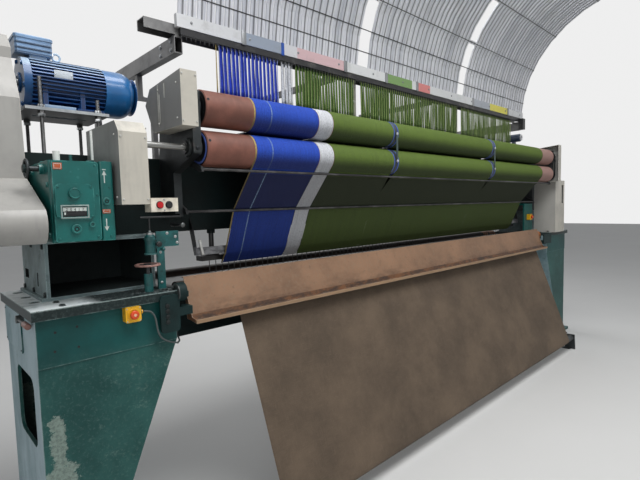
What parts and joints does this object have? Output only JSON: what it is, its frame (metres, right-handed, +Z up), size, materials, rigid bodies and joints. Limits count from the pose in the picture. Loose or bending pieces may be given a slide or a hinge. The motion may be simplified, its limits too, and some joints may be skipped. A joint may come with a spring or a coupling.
{
  "type": "tufting machine",
  "caption": "Wide floor-standing carpet tufting machine with yarn rollers, motor, needle bar, bed and yarn tube bank.",
  "frame": {"origin": "floor point under the centre of the machine's bounding box", "axes": "X along the machine to its right end, Y to its back, Z up"},
  "size_m": [5.9, 1.6984, 3.5608],
  "materials": {
    "teal_paint": "scuffed teal machine paint",
    "guard_paint": "warm light grey sheet-metal paint, dusty",
    "motor_blue": "semi-gloss blue motor paint",
    "box_blue_grey": "pale blue-grey lid paint",
    "brown_cover": "worn brown roller covering",
    "dark_steel": "oily dark steel",
    "bright_steel": "machined steel",
    "cast_iron": "oily cast iron",
    "yarn_blue": "bright blue yarn",
    "yarn_white": "white yarn",
    "yarn_green": "grass green yarn",
    "brown_sheet": "brown sheet, rubbed and dusty",
    "brown_cloth": "woven brown backing",
    "black_plastic": "black plastic",
    "white_tube": "milky plastic tube",
    "board_white": "pale board",
    "yellow_box": "yellow plastic",
    "red_button": "red plastic",
    "cream_box": "cream painted box",
    "grey_rubber": "grey cable sheath",
    "black_rubber": "black belt"
  },
  "bodies": {
    "machine_frame": {"left_leg": "teal_paint", "right_leg": "teal_paint", "bed_beam": "teal_paint", "bed_plate": "bright_steel", "head_beam": "teal_paint", "left_end_frame": "teal_paint", "right_end_frame": "teal_paint", "gearbox_housing": "teal_paint", "gearbox_cover": "teal_paint", "stitch_counter": "black_plastic", "gearbox_fittings": "teal_paint", "belt_guard": "guard_paint", "left_upper_guard": "guard_paint", "right_upper_guard": "guard_paint", "left_lower_guard": "guard_paint", "right_box_guard": "guard_paint", "motor_body": "motor_blue", "motor_fan_cover": "motor_blue", "motor_terminal_box": "box_blue_grey", "motor_base_plate": "dark_steel", "motor_studs": "bright_steel", "drive_belts": "black_rubber", "roller_chains": "dark_steel", "left_roller_bracket": "cast_iron", "right_roller_bracket": "cast_iron", "roller_hangers": "teal_paint", "yarn_guides": "dark_steel", "blue_yarn": "yarn_blue", "white_yarn": "yarn_white", "green_yarn": "yarn_green", "header_channel": "dark_steel", "header_board": "board_white", "header_frames": "dark_steel", "yarn_tubes": "white_tube", "feed_bearings": "cast_iron", "backing_cloth": "brown_cloth", "floor_bar": "dark_steel", "apron": "brown_sheet", "apron_brackets": "teal_paint", "button_box": "cream_box", "stop_stations": "yellow_box", "lubricator": "teal_paint", "right_end_panel": "teal_paint", "stop_cable": "grey_rubber"},
    "main_shaft": {"main_shaft": "dark_steel"},
    "motor_shaft": {"motor_shaft": "bright_steel"},
    "output_shaft": {"output_shaft": "bright_steel"},
    "upper_roller": {"upper_roller": "brown_cover"},
    "lower_roller": {"lower_roller": "brown_cover"},
    "needle_bar": {"needle_bar": "bright_steel"},
    "looper_shaft": {"looper_shaft": "bright_steel"},
    "front_feed_roller": {"front_feed_roller": "brown_cover"},
    "rear_feed_roller": {"rear_feed_roller": "brown_cover"},
    "gearbox_handwheel": {"gearbox_handwheel": "cast_iron"},
    "bed_handwheel": {"bed_handwheel": "cast_iron"},
    "leg_lever": {"leg_lever": "dark_steel"},
    "start_button": {"start_button": "black_plastic"},
    "stop_button": {"stop_button": "red_button"},
    "left_stop_button": {"left_stop_button": "red_button"},
    "right_stop_button": {"right_stop_button": "red_button"}
  },
  "joints": [
    {"name": "main_shaft_spin", "type": "hinge", "parent": "machine_frame", "child": "main_shaft", "pos_m": [0.1, 0.15916, 1.68], "axis": [1, 0, 0], "continuous": true},
    {"name": "motor_spin", "type": "hinge", "parent": "machine_frame", "child": "motor_shaft", "pos_m": [-2.8, 0.29916, 2.205], "axis": [1, 0, 0], "continuous": true},
    {"name": "output_spin", "type": "hinge", "parent": "machine_frame", "child": "output_shaft", "pos_m": [-2.34, -0.24084, 1.7], "axis": [1, 0, 0], "continuous": true},
    {"name": "lower_roller_spin", "type": "hinge", "parent": "machine_frame", "child": "lower_roller", "pos_m": [0.1, -0.30084, 1.876], "axis": [1, 0, 0], "continuous": true},
    {"name": "upper_roller_spin", "type": "hinge", "parent": "machine_frame", "child": "upper_roller", "pos_m": [0.1, -0.30084, 2.06], "axis": [1, 0, 0], "continuous": true},
    {"name": "front_feed_spin", "type": "hinge", "parent": "machine_frame", "child": "front_feed_roller", "pos_m": [0.1, -0.17584, 1.2], "axis": [1, 0, 0], "continuous": true},
    {"name": "rear_feed_spin", "type": "hinge", "parent": "machine_frame", "child": "rear_feed_roller", "pos_m": [0.1, 0.35416, 1.19], "axis": [1, 0, 0], "continuous": true},
    {"name": "needle_stroke", "type": "slide", "parent": "machine_frame", "child": "needle_bar", "axis": [0, 0, 1], "range_m": [-0.036, 0]},
    {"name": "looper_rock", "type": "hinge", "parent": "machine_frame", "child": "looper_shaft", "pos_m": [0.1, 0.02916, 1.136], "axis": [1, 0, 0], "range_deg": [-8, 0]},
    {"name": "gearbox_handwheel_spin", "type": "hinge", "parent": "machine_frame", "child": "gearbox_handwheel", "pos_m": [-2.684, -0.23584, 1.762], "axis": [1, 0, 0], "continuous": true},
    {"name": "bed_handwheel_spin", "type": "hinge", "parent": "machine_frame", "child": "bed_handwheel", "pos_m": [-2.241, -0.23184, 1.35], "axis": [0, 0, 1], "continuous": true},
    {"name": "leg_lever_swing", "type": "hinge", "parent": "machine_frame", "child": "leg_lever", "pos_m": [-2.7, -0.07284, 1.168], "axis": [1, 0, 0], "range_deg": [0, 40]},
    {"name": "start_button_press", "type": "slide", "parent": "machine_frame", "child": "start_button", "axis": [0, 1, 0], "range_m": [0, 0.004], "stiffness_N_per_m": 300},
    {"name": "stop_button_press", "type": "slide", "parent": "machine_frame", "child": "stop_button", "axis": [0, 1, 0], "range_m": [0, 0.004], "stiffness_N_per_m": 300},
    {"name": "left_stop_press", "type": "slide", "parent": "machine_frame", "child": "left_stop_button", "axis": [0, 1, 0], "range_m": [0, 0.005], "stiffness_N_per_m": 500},
    {"name": "right_stop_press", "type": "slide", "parent": "machine_frame", "child": "right_stop_button", "axis": [0, 1, 0], "range_m": [0, 0.005], "stiffness_N_per_m": 500}
  ],
  "couplings": [
    {"joint": "motor_spin", "follows": "main_shaft_spin", "ratio": 1.6667},
    {"joint": "output_spin", "follows": "main_shaft_spin", "ratio": 0.05},
    {"joint": "lower_roller_spin", "follows": "main_shaft_spin", "ratio": 0.0375},
    {"joint": "upper_roller_spin", "follows": "main_shaft_spin", "ratio": 0.0375},
    {"joint": "front_feed_spin", "follows": "main_shaft_spin", "ratio": -0.0125},
    {"joint": "rear_feed_spin", "follows": "main_shaft_spin", "ratio": -0.0125},
    {"joint": "looper_rock", "follows": "needle_stroke", "rad_per_m": 3.8785}
  ]
}
